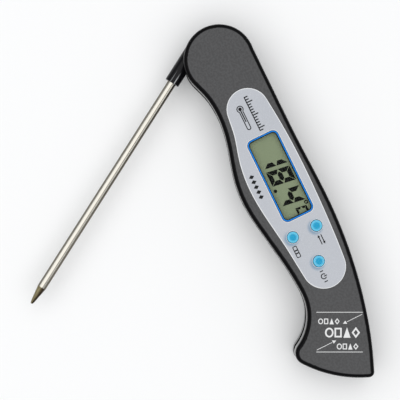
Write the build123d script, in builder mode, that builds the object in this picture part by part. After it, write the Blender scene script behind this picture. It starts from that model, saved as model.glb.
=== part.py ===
from build123d import *
import os
from math import asin, cos, degrees, radians, sin

# A folding digital food thermometer lying on its back. A flat, curved handle made of two shells
# holds a display, three push keys and one AAA cell. At its round head a hub turns between the two
# shells and carries a pointed steel probe, which folds into a channel along the handle's edge.
#
# Frame: the hinge axis is Z, the back face is z = 0, and +X runs down the handle to its tail.
# The probe folds in on the -Y side. All sizes are in millimetres.

os.makedirs("parts", exist_ok=True)

# ---------------------------------------------------------------- driving dimensions
THICKNESS = 19.0  # both shells together
PARTING_Z = 9.0  # plane where the shells meet, and the probe's own plane
WALL = 1.8
EDGE_ROUND = 2.0  # rounding of the front and back edges
SEAM_CHAMFER = 0.25  # shadow line between the shells
TOOL_SIZE = 40.0  # a cutting shape larger than whatever it trims
HEAD_R = 15.0
HEAD_ARC_END = 287.8  # degrees, where the head's circle runs into the probe side
SPINE_Y = 14.9  # the straight edge away from the probe
SHOULDER_ROUND = 8.0  # where the head runs into that edge
SPINE_END_X = 25.0  # where that straight edge starts to curve
TAIL_CORNER = (147.9, 0.35)
TAIL_ROUND = 2.4
WAIST = (103.5, -11.9)  # narrowest place, just before the tail flares out
FLARE_R = 21.0
FLARE_TURN = 62.2  # degrees from the waist to where the flare meets the lobe
LOBE_R = 5.0  # the finger stop at the tail
LOBE_TURN = 98.7

HUB_R = 14.8
HUB_HALF = 4.7  # half of the hub's height
HUB_GAP = 0.2  # between the hub's flat faces and the shells
HUB_POCKET_GAP = 0.35  # round the hub
TRUNNION_R = 6.0
TRUNNION_LENGTH = 1.9
CORE_BORE_R = 4.0  # well in the middle of the hub, for the sensor leads
CORE_FLOOR = 6.2
BEARING_FIT = 0.06
BEARING_WALL = 1.8
BEARING_SETBACK = 1.0  # between the hub's lower face and its bearing ring
WASHER_ROOM = 0.45  # between the hub's upper face and its bearing ring
LEAD_NOTCH = 4.0
HUB_RIM = 2.2  # wall left round the hollow in the hub
HUB_HOLLOW_EDGE = -6.0  # the hollow stays this side of the probe's bore

OPEN_ANGLE = 58.5  # the probe stands this far out of its channel
PROBE_OFFSET = 12.1  # from the hinge axis to the probe's centreline
SLEEVE_R = 3.2
SLEEVE_END = 18.4  # along the probe, from the hinge axis
SLEEVE_ROUND = 0.35
TUBE_R = 1.9
TUBE_BORE_R = 1.5
TUBE_GLUE_GAP = 0.02
TUBE_ROOT = 6.0  # the tube's inner end
TAPER_START = 121.2
TIP_END = 129.4
TIP_R = 0.6
TIP_ROUND = 0.4
FACET_TIP_R = 0.32  # the point is ground to four facets, which end this far from the centreline
BORE_END = 121.6
LEAD_PASSAGE = 3.2  # square passage from the tube to the well

CHANNEL_HALF = 2.6  # the probe channel, each way from the parting plane
CHANNEL_Y = -9.7  # its inner wall
CHANNEL_END = 131.2
CHANNEL_END_DEPTH = 7.5  # the far end runs straight in this far, then slants out
CHANNEL_END_SLANT = 4.5
CHANNEL_MOUTH = 21.0  # how far out the channel is cut, past the handle's side
SLEEVE_SLOT_HALF = 3.5
SLEEVE_SLOT_Y = -8.6
SLEEVE_SLOT_END = 19.3
CHANNEL_WALL = 1.5  # between the channel and the inside
HEAD_SOLID_X = 10.0  # at the channel's level the head is solid up to here

PLATE_RECESS = 0.8
PLATE_PROUD = 0.15
PLATE_GAP = 0.08
PLATE_ROUND = 0.4
NEAR_END = (24.0, 1.6)  # centres of the faceplate's round ends
FAR_END = (96.8, 1.3)
NEAR_END_R = 9.0
FAR_END_R = 9.35
LENS_X = (36.1, 73.75)
LENS_Y = (-5.6, 8.6)
LENS_ROUND = 2.6
LENS_LEDGE = 1.0
LENS_GAP = 0.05
LENS_EDGE_ROUND = 0.15

KEY_R = 2.35
KEY_HOLE_R = 2.6
KEY_TOP = 20.4
KEY_DOME = 0.7  # height of the domed top
KEY_EDGE_ROUND = 0.3
KEY_FLANGE_R = 3.3
KEY_FLANGE_Z = (16.2, 16.9)
KEY_SPOTS = {"units": (80.1, 6.0), "hold": (80.2, -5.0), "power": (93.9, 0.4)}
SWITCH_SIDE = 4.6
SWITCH_TOP = 15.2
PLUNGER_R = 1.2
PLUNGER_FOOT = 14.6
PLUNGER_FIT = 0.06

BOARD_Z = 12.8  # underside of the circuit board
BOARD_T = 1.0
BOARD_X = (28.6, 102.0)
BOARD_Y = (-7.5, 12.0)
LCD_X = (35.0, 75.0)
LCD_Y = (-6.4, 9.4)
LCD_BOTTOM = 15.3
LCD_T = 1.4
FILM_T = 0.15
FILM_MARGIN = 0.8  # the front film is this much smaller than the display on each side
REFLECTOR_MARGIN = 2.6
HOLDER_WALL = 1.0
HOLDER_GAP = 0.1
ZEBRA_W = 2.0
ZEBRA_INSET = 0.3  # from the display's long edge
ZEBRA_SHORTER = 3.0  # than the display
CHIP_SPOT = (39.0, 4.5)
CHIP_R = 4.2
CHIP_HEIGHT = 1.6
COMPONENT_SPOT = (39.0, -4.0)  # middle of the field of small parts
COMPONENT_PITCH = (3.4, 2.2)
COMPONENT_SIZE = (1.6, 0.8, 0.6)
BOARD_CORNER_ROUND = 1.0
BOARD_SLOPE = (16.0, 3.0)  # the corner trimmed to the handle's narrowing

CELL_R = 5.15
CELL_Y = 2.5
CELL_Z = 7.3
CELL_X = (53.1, 96.6)
CELL_EDGE_ROUND = 0.5
NUB_R = 1.9
NUB_LENGTH = 1.0
CONTACT_T = 0.3
CONTACT_HALF_Y = 4.0
CONTACT_Z = (2.3, 11.2)
CONTACT_CORNER_ROUND = 0.8
BAY_WALL_X = (48.0, 98.1)  # near side of each end wall
BAY_WALL_T = 1.0
BAY_RIB_OFFSET = 8.7
SPRING_R = 3.0
SPRING_WIRE_R = 0.3
SPRING_PITCH = 1.1
SPRING_CONE = -14.0  # degrees by which it narrows towards the cell
DOOR_X = (45.0, 101.0)  # the opening in the back shell
DOOR_HALF_Y = 7.75
DOOR_T = 1.5
DOOR_GAP = 0.15
DOOR_LATCH_GAP = 0.3
DOOR_ROUND = 1.5
BAY_RIB_SHORTER = 3.0  # than the door
GROOVES_FROM_END = 9.0  # the grip grooves' middle, from the latch end
GROOVE_PITCH = 1.6
GROOVE_SIZE = (9.0, 0.7)
GROOVE_DEPTH = 0.4
TONGUE_X = (DOOR_X[0] - 1.8, DOOR_X[0] + 1.3)
TONGUE_Z = (WALL + 0.15, WALL + 1.15)
TONGUE_WIDTH = 3.0
TONGUE_OFFSET = 4.5
TONGUE_FOOT = 0.3  # from the opening's edge
LATCH_X = DOOR_X[1] - 1.0
LATCH_STRIP = 0.5  # thickness of the bent latch strip
LATCH_BEND = 1.05  # across the bend
LATCH_HEIGHT = 4.6
LATCH_HOOK_Z = 2.0
LATCH_HALF_WIDTH = 2.5

SCREW_SPOTS = [(24.0, 9.1), (24.0, -4.4), (108.0, 1.8), (137.2, -8.2)]
SCREW_SEAT = 3.0  # underside of a shell screw's head
SCREW_TIP = 15.0
SCREW_R = 1.25
SCREW_HEAD_R = 2.3
SCREW_HEAD_T = 1.9
SCREW_HEAD_GAP = 0.2
SCREW_HOLE_R = 1.45  # in the back shell
SCREW_PILOT_GAP = 0.02  # round the screw in the front shell
SCREW_CROSS = (2.6, 0.6, 1.0)  # length, width and depth of the driver's cross
FRONT_BOSS_R = 2.8
BACK_BOSS_R = 3.3
BOARD_BOSS_R = 2.0
BOARD_SCREW_SPOTS = [(31.4, 8.6), (87.5, 8.9), (87.5, -5.4)]
BOARD_SCREW_R = 0.9
BOARD_SCREW_HEAD_R = 1.7
BOARD_SCREW_HEAD_T = 1.1
BOARD_SCREW_TIP = 16.6
BOARD_SCREW_CROSS = (1.8, 0.45, 0.6)
BOARD_SCREW_GAP = 0.15  # round the screw in the board

LEAD_R = 0.3
LEAD_PITCH = 0.45  # half the spacing of the sensor's two leads
LEAD_MEET_Z = 12.0  # where the probe's leads stop on the hinge axis
LEAD_GAP = 0.2  # from there to the handle's leads, so that the probe's can turn under them
LEAD_SPREAD = 0.5  # half their spacing there
LEAD_OVER_RING_Z = 16.4  # where the handle's leads cross the bearing ring
LEAD_PAD_X = 31.0
CELL_LEAD_R = 0.4
CELL_LEAD_REACH = 2.2  # how far behind its contact a lead stands
CELL_LEAD_FROM_TOP = 0.8  # the solder joint, below the contact's top
CELL_LEAD_BEND = 0.9

BEAD_X = 119.6
BEAD_R = 1.0
POTTING_START = 112.0
SEAL_LENGTH = 4.0
WASHER_GAP = 0.05  # between the friction washer and the hub
WASHER_BORE_GAP = 0.15

# ---------------------------------------------------------------- derived places
BOARD_TOP = BOARD_Z + BOARD_T
FRONT_INSIDE = THICKNESS - WALL
HUB_TOP = PARTING_Z + HUB_HALF
HUB_FLOOR = PARTING_Z - HUB_HALF
POCKET_R = HUB_R + HUB_POCKET_GAP
POCKET_TOP = HUB_TOP + HUB_GAP
POCKET_FLOOR = HUB_FLOOR - HUB_GAP
FRONT_RING_START = HUB_TOP + WASHER_ROOM
PLATE_SEAT = THICKNESS - PLATE_RECESS
LENS_CENTRE = (sum(LENS_X) / 2, sum(LENS_Y) / 2)
LENS_SIZE = (LENS_X[1] - LENS_X[0], LENS_Y[1] - LENS_Y[0])
LCD_CENTRE = (sum(LCD_X) / 2, sum(LCD_Y) / 2)
LCD_SIZE = (LCD_X[1] - LCD_X[0], LCD_Y[1] - LCD_Y[0])
DOOR_CENTRE = (sum(DOOR_X) / 2, CELL_Y)
DOOR_SIZE = (DOOR_X[1] - DOOR_X[0], 2 * DOOR_HALF_Y)

PROBE_ANGLE = radians(-OPEN_ANGLE)
PROBE_DIR = Vector(cos(PROBE_ANGLE), sin(PROBE_ANGLE), 0)
# The probe's own plane: its X runs from the hinge towards the tip.
PROBE_PLANE = Plane(origin=(0, 0, PARTING_Z), x_dir=PROBE_DIR, z_dir=(0, 0, 1))


def across_probe(distance):
    """A plane square to the probe's centreline, this far from the hinge, facing the tip."""
    spot = PROBE_PLANE.from_local_coords((distance, -PROBE_OFFSET, 0))
    return Plane(origin=spot, x_dir=(0, 0, 1), z_dir=PROBE_DIR)


# ---------------------------------------------------------------- outlines
def beside(curve, distance, start=0.0, stop=1.0, steps=16):
    """A smooth curve this far to the left of another one, along part of its length."""
    places = [start + (stop - start) * step / steps for step in range(steps + 1)]
    points = [curve @ place + (curve % place).rotate(Axis.Z, 90) * distance for place in places]
    return Spline(*points, tangents=[curve % start, curve % stop])


def head_arc_at(inset):
    """The head's round outline, drawn in by inset."""
    start = degrees(asin((SPINE_Y - inset) / (HEAD_R - inset)))
    return CenterArc((0, 0), HEAD_R - inset, start, HEAD_ARC_END - start)


FLARE_CENTRE = (WAIST[0], WAIST[1] - FLARE_R)
with BuildSketch() as handle_outline:
    with BuildLine():
        head_arc = head_arc_at(0)
        flare_arc = CenterArc(FLARE_CENTRE, FLARE_R, 90, -FLARE_TURN)
        lobe_arc = JernArc(flare_arc @ 1, flare_arc % 1, LOBE_R, LOBE_TURN)
        probe_edge = Spline(
            head_arc @ 1,
            (11.5, -12.05),
            (21.0, -11.0),
            (34.0, -12.75),
            (46.5, -16.1),
            (59.5, -17.4),
            (73.0, -15.8),
            (84.0, -13.95),
            (94.0, -12.55),
            flare_arc @ 0,
            tangents=[head_arc % 1, flare_arc % 0],
            tangent_scalars=[1.0, 0.7],
        )
        tail_arc = TangentArc(lobe_arc @ 1, TAIL_CORNER, tangent=lobe_arc % 1)
        spine_edge = Spline(
            TAIL_CORNER,
            (136.0, 5.0),
            (121.0, 9.5),
            (106.0, 12.7),
            (88.5, 14.95),
            (71.0, 15.7),
            (48.0, 15.1),
            (SPINE_END_X, SPINE_Y),
            tangents=[(-1, 0.4), (-1, 0)],
        )
        Line((SPINE_END_X, SPINE_Y), head_arc @ 0)
    make_face()
    fillet(handle_outline.vertices().sort_by_distance(TAIL_CORNER)[0], TAIL_ROUND)
    fillet(handle_outline.vertices().sort_by_distance(head_arc @ 0)[0], SHOULDER_ROUND)

# The inside of both shells, cut off short of the sharp tail corner.
with BuildSketch() as inside_outline:
    with BuildLine():
        inner_head = head_arc_at(WALL)
        beside(probe_edge, WALL)
        CenterArc(FLARE_CENTRE, FLARE_R + WALL, 90, -FLARE_TURN)
        inner_lobe = JernArc(
            lobe_arc @ 0 + (lobe_arc % 0).rotate(Axis.Z, 90) * WALL, lobe_arc % 0, LOBE_R - WALL, LOBE_TURN
        )
        inner_tail = beside(tail_arc, WALL, 0, 0.88, 4)
        inner_spine = beside(spine_edge, WALL, 0.03, 1)
        Line(inner_tail @ 1, inner_spine @ 0)
        Line(inner_spine @ 1, inner_head @ 0)
    make_face()

with BuildSketch() as plate_outline:
    with BuildLine():
        near_arc = CenterArc(NEAR_END, NEAR_END_R, 96, 166)
        far_arc = CenterArc(FAR_END, FAR_END_R, -84, 168)
        lower_edge = Spline(
            near_arc @ 1,
            (31.0, -8.4),
            (41.0, -11.0),
            (55.0, -12.6),
            (68.0, -11.6),
            (82.0, -9.6),
            far_arc @ 0,
            tangents=[near_arc % 1, far_arc % 0],
        )
        upper_edge = Spline(
            far_arc @ 1,
            (80.0, 11.8),
            (57.0, 12.4),
            (38.0, 11.85),
            near_arc @ 0,
            tangents=[far_arc % 1, near_arc % 0],
        )
    make_face()

with BuildSketch() as recess_outline:
    with BuildLine():
        CenterArc(NEAR_END, NEAR_END_R + PLATE_GAP, 96, 166)
        CenterArc(FAR_END, FAR_END_R + PLATE_GAP, -84, 168)
        beside(lower_edge, -PLATE_GAP)
        beside(upper_edge, -PLATE_GAP)
    make_face()

# The inside at the level of the probe channel, kept clear of the channel and the hub's pocket.
with BuildSketch() as channel_level_outline:
    add(inside_outline.sketch)
    with Locations((0, CHANNEL_Y + CHANNEL_WALL)):
        Rectangle(CHANNEL_END + CHANNEL_WALL, TOOL_SIZE, align=(Align.MIN, Align.MAX), mode=Mode.SUBTRACT)
    with Locations((0, SLEEVE_SLOT_Y + CHANNEL_WALL)):
        Rectangle(SLEEVE_SLOT_END + CHANNEL_WALL, TOOL_SIZE, align=(Align.MIN, Align.MAX), mode=Mode.SUBTRACT)
    Circle(POCKET_R + CHANNEL_WALL, mode=Mode.SUBTRACT)
    with Locations((HEAD_SOLID_X, 0)):
        Rectangle(TOOL_SIZE, TOOL_SIZE, align=(Align.MAX, Align.CENTER), mode=Mode.SUBTRACT)

with BuildSketch() as channel_outline:
    with BuildLine():
        Polyline(
            (0, CHANNEL_Y),
            (CHANNEL_END, CHANNEL_Y),
            (CHANNEL_END, CHANNEL_Y - CHANNEL_END_DEPTH),
            (CHANNEL_END - CHANNEL_END_SLANT, CHANNEL_Y - CHANNEL_MOUTH),
            (0, CHANNEL_Y - CHANNEL_MOUTH),
            close=True,
        )
    make_face()


# The room that the hub, its sleeve and the folded probe turn in.
with BuildPart() as probe_room:
    with BuildSketch(Plane.XY.offset(POCKET_FLOOR)):
        Circle(POCKET_R)
    extrude(amount=POCKET_TOP - POCKET_FLOOR)
    with BuildSketch(Plane.XY.offset(PARTING_Z - SLEEVE_SLOT_HALF)):
        with Locations((0, SLEEVE_SLOT_Y)):
            Rectangle(SLEEVE_SLOT_END, TOOL_SIZE, align=(Align.MIN, Align.MAX))
    extrude(amount=2 * SLEEVE_SLOT_HALF)
    with BuildSketch(Plane.XY.offset(PARTING_Z - CHANNEL_HALF)):
        add(channel_outline.sketch)
    extrude(amount=2 * CHANNEL_HALF)


def bearing_ring(start, end, notch):
    """A ring in which one of the hub's trunnions turns, notched towards the handle for the leads."""
    ring_r = TRUNNION_R + BEARING_FIT
    with BuildPart() as ring:
        with BuildSketch(Plane.XY.offset(start)):
            Circle(ring_r + BEARING_WALL)
            Circle(ring_r, mode=Mode.SUBTRACT)
            if notch:
                Rectangle(TOOL_SIZE, notch, align=(Align.MIN, Align.CENTER), mode=Mode.SUBTRACT)
        extrude(amount=end - start)
    return ring.part


# ---------------------------------------------------------------- front shell
with BuildPart() as front_shell:
    with BuildSketch(Plane.XY.offset(PARTING_Z)):
        add(handle_outline.sketch)
    extrude(amount=THICKNESS - PARTING_Z)
    fillet(front_shell.faces().sort_by(Axis.Z)[-1].outer_wire().edges(), EDGE_ROUND)
    chamfer(front_shell.faces().sort_by(Axis.Z)[0].outer_wire().edges(), SEAM_CHAMFER)
    with BuildSketch(Plane.XY.offset(POCKET_TOP)):
        add(inside_outline.sketch)
    extrude(amount=FRONT_INSIDE - POCKET_TOP, mode=Mode.SUBTRACT)
    with BuildSketch(Plane.XY.offset(PARTING_Z)):
        add(channel_level_outline.sketch)
    extrude(amount=POCKET_TOP - PARTING_Z, mode=Mode.SUBTRACT)
    add(probe_room.part, mode=Mode.SUBTRACT)
    with BuildSketch(Plane.XY.offset(PLATE_SEAT)):
        add(recess_outline.sketch)
    extrude(amount=PLATE_RECESS, mode=Mode.SUBTRACT)
    with BuildSketch(Plane.XY.offset(FRONT_INSIDE)):
        with Locations(LENS_CENTRE):
            RectangleRounded(
                LENS_SIZE[0] - 2 * LENS_LEDGE, LENS_SIZE[1] - 2 * LENS_LEDGE, LENS_ROUND - LENS_LEDGE
            )
        with Locations(*KEY_SPOTS.values()):
            Circle(KEY_HOLE_R)
    extrude(amount=WALL, mode=Mode.SUBTRACT)
    # bosses for the shell screws and the board screws, and the upper bearing
    with BuildSketch(Plane.XY.offset(PARTING_Z)):
        with Locations(*SCREW_SPOTS):
            Circle(FRONT_BOSS_R)
            Circle(SCREW_R + SCREW_PILOT_GAP, mode=Mode.SUBTRACT)
    extrude(amount=FRONT_INSIDE - PARTING_Z)
    with BuildSketch(Plane.XY.offset(BOARD_TOP)):
        with Locations(*BOARD_SCREW_SPOTS):
            Circle(BOARD_BOSS_R)
            Circle(BOARD_SCREW_R + SCREW_PILOT_GAP, mode=Mode.SUBTRACT)
    extrude(amount=FRONT_INSIDE - BOARD_TOP)
    add(bearing_ring(FRONT_RING_START, FRONT_INSIDE, LEAD_NOTCH))
front_shell.part.label = "front_shell"

# ---------------------------------------------------------------- back shell
with BuildPart() as back_shell:
    with BuildSketch():
        add(handle_outline.sketch)
    extrude(amount=PARTING_Z)
    fillet(back_shell.faces().sort_by(Axis.Z)[0].outer_wire().edges(), EDGE_ROUND)
    chamfer(back_shell.faces().sort_by(Axis.Z)[-1].outer_wire().edges(), SEAM_CHAMFER)
    with BuildSketch(Plane.XY.offset(WALL)):
        add(inside_outline.sketch)
    extrude(amount=POCKET_FLOOR - WALL, mode=Mode.SUBTRACT)
    with BuildSketch(Plane.XY.offset(POCKET_FLOOR)):
        add(channel_level_outline.sketch)
    extrude(amount=PARTING_Z - POCKET_FLOOR, mode=Mode.SUBTRACT)
    add(probe_room.part, mode=Mode.SUBTRACT)
    add(bearing_ring(WALL, HUB_FLOOR - BEARING_SETBACK, 0))
    # screw bosses, with the screws' heads sunk from behind
    with BuildSketch(Plane.XY.offset(WALL)):
        with Locations(*SCREW_SPOTS):
            Circle(BACK_BOSS_R)
    extrude(amount=PARTING_Z - WALL)
    with Locations(*[Location((x, y, 0), (180, 0, 0)) for x, y in SCREW_SPOTS]):
        CounterBoreHole(SCREW_HOLE_R, SCREW_HEAD_R + SCREW_HEAD_GAP, SCREW_SEAT, PARTING_Z)
    # cell bay: an end wall behind each contact and a rib along each side
    with BuildSketch(Plane.XY.offset(WALL)):
        for wall_x in BAY_WALL_X:
            with Locations((wall_x, CELL_Y)):
                Rectangle(BAY_WALL_T, 2 * BAY_RIB_OFFSET, align=(Align.MIN, Align.CENTER))
        for side in (-1, 1):
            with Locations((DOOR_CENTRE[0], CELL_Y + side * BAY_RIB_OFFSET)):
                Rectangle(DOOR_SIZE[0] - BAY_RIB_SHORTER, BAY_WALL_T)
    extrude(amount=PARTING_Z - WALL)
    with BuildSketch():
        with Locations(DOOR_CENTRE):
            RectangleRounded(*DOOR_SIZE, DOOR_ROUND)
    extrude(amount=WALL, mode=Mode.SUBTRACT)
back_shell.part.label = "back_shell"

# ---------------------------------------------------------------- faceplate and display lens
with BuildPart() as faceplate:
    with BuildSketch(Plane.XY.offset(PLATE_SEAT)):
        add(plate_outline.sketch)
        with Locations(LENS_CENTRE):
            RectangleRounded(
                LENS_SIZE[0] + 2 * LENS_GAP,
                LENS_SIZE[1] + 2 * LENS_GAP,
                LENS_ROUND + LENS_GAP,
                mode=Mode.SUBTRACT,
            )
        with Locations(*KEY_SPOTS.values()):
            Circle(KEY_HOLE_R, mode=Mode.SUBTRACT)
    extrude(amount=PLATE_RECESS + PLATE_PROUD)
    fillet(faceplate.faces().sort_by(Axis.Z)[-1].outer_wire().edges(), PLATE_ROUND)
faceplate.part.label = "faceplate"

with BuildPart() as display_lens:
    with BuildSketch(Plane.XY.offset(PLATE_SEAT)):
        with Locations(LENS_CENTRE):
            RectangleRounded(*LENS_SIZE, LENS_ROUND)
    extrude(amount=PLATE_RECESS + PLATE_PROUD)
    fillet(display_lens.faces().sort_by(Axis.Z)[-1].edges(), LENS_EDGE_ROUND)
display_lens.part.label = "display_lens"


# ---------------------------------------------------------------- display module
def display_sheet(name, bottom, thickness, margin):
    """A flat sheet as large as the display, drawn in by margin on every side."""
    with BuildPart() as sheet:
        with BuildSketch(Plane.XY.offset(bottom)):
            with Locations(LCD_CENTRE):
                Rectangle(LCD_SIZE[0] - 2 * margin, LCD_SIZE[1] - 2 * margin)
        extrude(amount=thickness)
    sheet.part.label = name
    return sheet.part


lcd_glass = display_sheet("lcd_glass", LCD_BOTTOM, LCD_T, 0)
lcd_polariser = display_sheet("lcd_polariser", LCD_BOTTOM + LCD_T, FILM_T, FILM_MARGIN)
lcd_reflector = display_sheet("lcd_reflector", LCD_BOTTOM - FILM_T, FILM_T, REFLECTOR_MARGIN)

with BuildPart() as lcd_holder:
    with BuildSketch(Plane.XY.offset(BOARD_TOP)):
        with Locations(LCD_CENTRE):
            opening = (LCD_SIZE[0] + 2 * HOLDER_GAP, LCD_SIZE[1] + 2 * HOLDER_GAP)
            Rectangle(opening[0] + 2 * HOLDER_WALL, opening[1] + 2 * HOLDER_WALL)
            Rectangle(*opening, mode=Mode.SUBTRACT)
    extrude(amount=LCD_BOTTOM + LCD_T - BOARD_TOP)
lcd_holder.part.label = "lcd_holder"

with BuildPart() as zebra_strips:
    with BuildSketch(Plane.XY.offset(BOARD_TOP)):
        strip_y = LCD_SIZE[1] / 2 - ZEBRA_W / 2 - ZEBRA_INSET
        with Locations((LCD_CENTRE[0], LCD_CENTRE[1] - strip_y), (LCD_CENTRE[0], LCD_CENTRE[1] + strip_y)):
            Rectangle(LCD_SIZE[0] - ZEBRA_SHORTER, ZEBRA_W)
    extrude(amount=LCD_BOTTOM - BOARD_TOP)
zebra_strips.part.label = "zebra_strips"

# ---------------------------------------------------------------- circuit board and what is on it
with BuildPart() as circuit_board:
    with BuildSketch(Plane.XY.offset(BOARD_Z)) as board_outline:
        with BuildLine():
            Polyline(
                (BOARD_X[0], BOARD_Y[0]),
                (BOARD_X[1], BOARD_Y[0]),
                (BOARD_X[1], BOARD_Y[1] - BOARD_SLOPE[1]),
                (BOARD_X[1] - BOARD_SLOPE[0], BOARD_Y[1]),
                (BOARD_X[0], BOARD_Y[1]),
                close=True,
            )
        make_face()
        fillet(board_outline.vertices(), BOARD_CORNER_ROUND)
        with Locations(*BOARD_SCREW_SPOTS):
            Circle(BOARD_SCREW_R + BOARD_SCREW_GAP, mode=Mode.SUBTRACT)
    extrude(amount=BOARD_T)
circuit_board.part.label = "circuit_board"

with BuildPart() as chip_blob:
    with BuildSketch(Plane.XZ.offset(-CHIP_SPOT[1])):
        with BuildLine():
            crown = (CHIP_SPOT[0], BOARD_Z - CHIP_HEIGHT)
            rim = (CHIP_SPOT[0] + CHIP_R, BOARD_Z)
            TangentArc(crown, rim, tangent=(1, 0))
            Line(rim, (CHIP_SPOT[0], BOARD_Z))
            Line((CHIP_SPOT[0], BOARD_Z), crown)
        make_face()
    revolve(axis=Axis((CHIP_SPOT[0], CHIP_SPOT[1], 0), (0, 0, 1)))
chip_blob.part.label = "chip_blob"

with BuildPart() as board_components:
    with BuildSketch(Plane.XY.offset(BOARD_Z - COMPONENT_SIZE[2])):
        with Locations(COMPONENT_SPOT):
            with GridLocations(*COMPONENT_PITCH, 4, 2):
                Rectangle(*COMPONENT_SIZE[:2])
    extrude(amount=COMPONENT_SIZE[2])
board_components.part.label = "board_components"

with BuildPart() as tact_switches:
    with BuildSketch(Plane.XY.offset(BOARD_TOP)):
        with Locations(*KEY_SPOTS.values()):
            Rectangle(SWITCH_SIDE, SWITCH_SIDE)
            Circle(PLUNGER_R + PLUNGER_FIT, mode=Mode.SUBTRACT)
    extrude(amount=SWITCH_TOP - BOARD_TOP)
tact_switches.part.label = "tact_switches"


# ---------------------------------------------------------------- keys
def key_cap(name, spot):
    """A domed key, with a flange that keeps it under the front shell."""
    with BuildPart() as cap:
        with BuildSketch(Plane.XZ.offset(-spot[1])):
            with BuildLine():
                x = spot[0]
                foot = (x, KEY_FLANGE_Z[0])
                shoulder = (x + KEY_R, KEY_TOP - KEY_DOME)
                Polyline(
                    foot,
                    (x + KEY_FLANGE_R, KEY_FLANGE_Z[0]),
                    (x + KEY_FLANGE_R, KEY_FLANGE_Z[1]),
                    (x + KEY_R, KEY_FLANGE_Z[1]),
                    shoulder,
                )
                TangentArc((x, KEY_TOP), shoulder, tangent=(1, 0))
                Line((x, KEY_TOP), foot)
            make_face()
        revolve(axis=Axis((spot[0], spot[1], 0), (0, 0, 1)))
        fillet(cap.edges().filter_by(lambda edge: edge.is_closed).sort_by(Axis.Z)[-1], KEY_EDGE_ROUND)
    cap.part.label = name
    return cap.part


def switch_plunger(name, spot):
    """The moving pin of a switch, which the key stands on."""
    with BuildPart() as plunger:
        with BuildSketch(Plane.XY.offset(PLUNGER_FOOT)):
            with Locations(spot):
                Circle(PLUNGER_R)
        extrude(amount=KEY_FLANGE_Z[0] - PLUNGER_FOOT)
    plunger.part.label = name
    return plunger.part


key_parts = []
for key_name, key_spot in KEY_SPOTS.items():
    key_parts.append(key_cap(f"{key_name}_key", key_spot))
    key_parts.append(switch_plunger(f"{key_name}_plunger", key_spot))

# ---------------------------------------------------------------- screws
with BuildPart() as shell_screws:
    with BuildSketch(Plane.XY.offset(SCREW_SEAT - SCREW_HEAD_T)):
        with Locations(*SCREW_SPOTS):
            Circle(SCREW_HEAD_R)
    extrude(amount=SCREW_HEAD_T)
    with BuildSketch(Plane.XY.offset(SCREW_SEAT)):
        with Locations(*SCREW_SPOTS):
            Circle(SCREW_R)
    extrude(amount=SCREW_TIP - SCREW_SEAT)
    # cross slot for the driver
    with BuildSketch(Plane.XY.offset(SCREW_SEAT - SCREW_HEAD_T)):
        with Locations(*SCREW_SPOTS):
            for turn in (0, 90):
                Rectangle(*SCREW_CROSS[:2], rotation=turn)
    extrude(amount=SCREW_CROSS[2], mode=Mode.SUBTRACT)
shell_screws.part.label = "shell_screws"

with BuildPart() as board_screws:
    with BuildSketch(Plane.XY.offset(BOARD_Z - BOARD_SCREW_HEAD_T)):
        with Locations(*BOARD_SCREW_SPOTS):
            Circle(BOARD_SCREW_HEAD_R)
    extrude(amount=BOARD_SCREW_HEAD_T)
    with BuildSketch(Plane.XY.offset(BOARD_Z)):
        with Locations(*BOARD_SCREW_SPOTS):
            Circle(BOARD_SCREW_R)
    extrude(amount=BOARD_SCREW_TIP - BOARD_Z)
    with BuildSketch(Plane.XY.offset(BOARD_Z - BOARD_SCREW_HEAD_T)):
        with Locations(*BOARD_SCREW_SPOTS):
            for turn in (0, 90):
                Rectangle(*BOARD_SCREW_CROSS[:2], rotation=turn)
    extrude(amount=BOARD_SCREW_CROSS[2], mode=Mode.SUBTRACT)
board_screws.part.label = "board_screws"

# ---------------------------------------------------------------- cell, contacts and their leads
with BuildPart() as aaa_cell:
    with BuildSketch(Plane.YZ.offset(CELL_X[0])):
        with Locations((CELL_Y, CELL_Z)):
            Circle(CELL_R)
    extrude(amount=CELL_X[1] - CELL_X[0])
    fillet(aaa_cell.edges().filter_by(GeomType.CIRCLE), CELL_EDGE_ROUND)
    with BuildSketch(Plane.YZ.offset(CELL_X[1])):
        with Locations((CELL_Y, CELL_Z)):
            Circle(NUB_R)
    extrude(amount=NUB_LENGTH)
aaa_cell.part.label = "aaa_cell"


def contact_plate(start_x):
    """A flat contact standing against an end wall of the cell bay."""
    with BuildPart() as plate:
        with BuildSketch(Plane.YZ.offset(start_x)):
            with Locations((CELL_Y, sum(CONTACT_Z) / 2)):
                RectangleRounded(2 * CONTACT_HALF_Y, CONTACT_Z[1] - CONTACT_Z[0], CONTACT_CORNER_ROUND)
        extrude(amount=CONTACT_T)
    return plate.part


with BuildPart() as cell_plate_contact:
    add(contact_plate(BAY_WALL_X[1] - CONTACT_T))
cell_plate_contact.part.label = "cell_plate_contact"

SPRING_START = BAY_WALL_X[0] + BAY_WALL_T + CONTACT_T
SPRING_HEIGHT = CELL_X[0] - SPRING_START - 2 * SPRING_WIRE_R
with BuildPart() as cell_spring_contact:
    add(contact_plate(BAY_WALL_X[0] + BAY_WALL_T))
    # the conical spring stands on the plate and ends just short of the cell
    with BuildLine():
        coil = Helix(
            SPRING_PITCH,
            SPRING_HEIGHT,
            SPRING_R,
            center=(SPRING_START + SPRING_WIRE_R / 2, CELL_Y, CELL_Z),
            direction=(1, 0, 0),
            cone_angle=SPRING_CONE,
        )
    with BuildSketch(Plane(origin=coil @ 0, z_dir=coil % 0)):
        Circle(SPRING_WIRE_R)
    sweep(path=coil, is_frenet=True)
cell_spring_contact.part.label = "cell_spring_contact"


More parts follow.
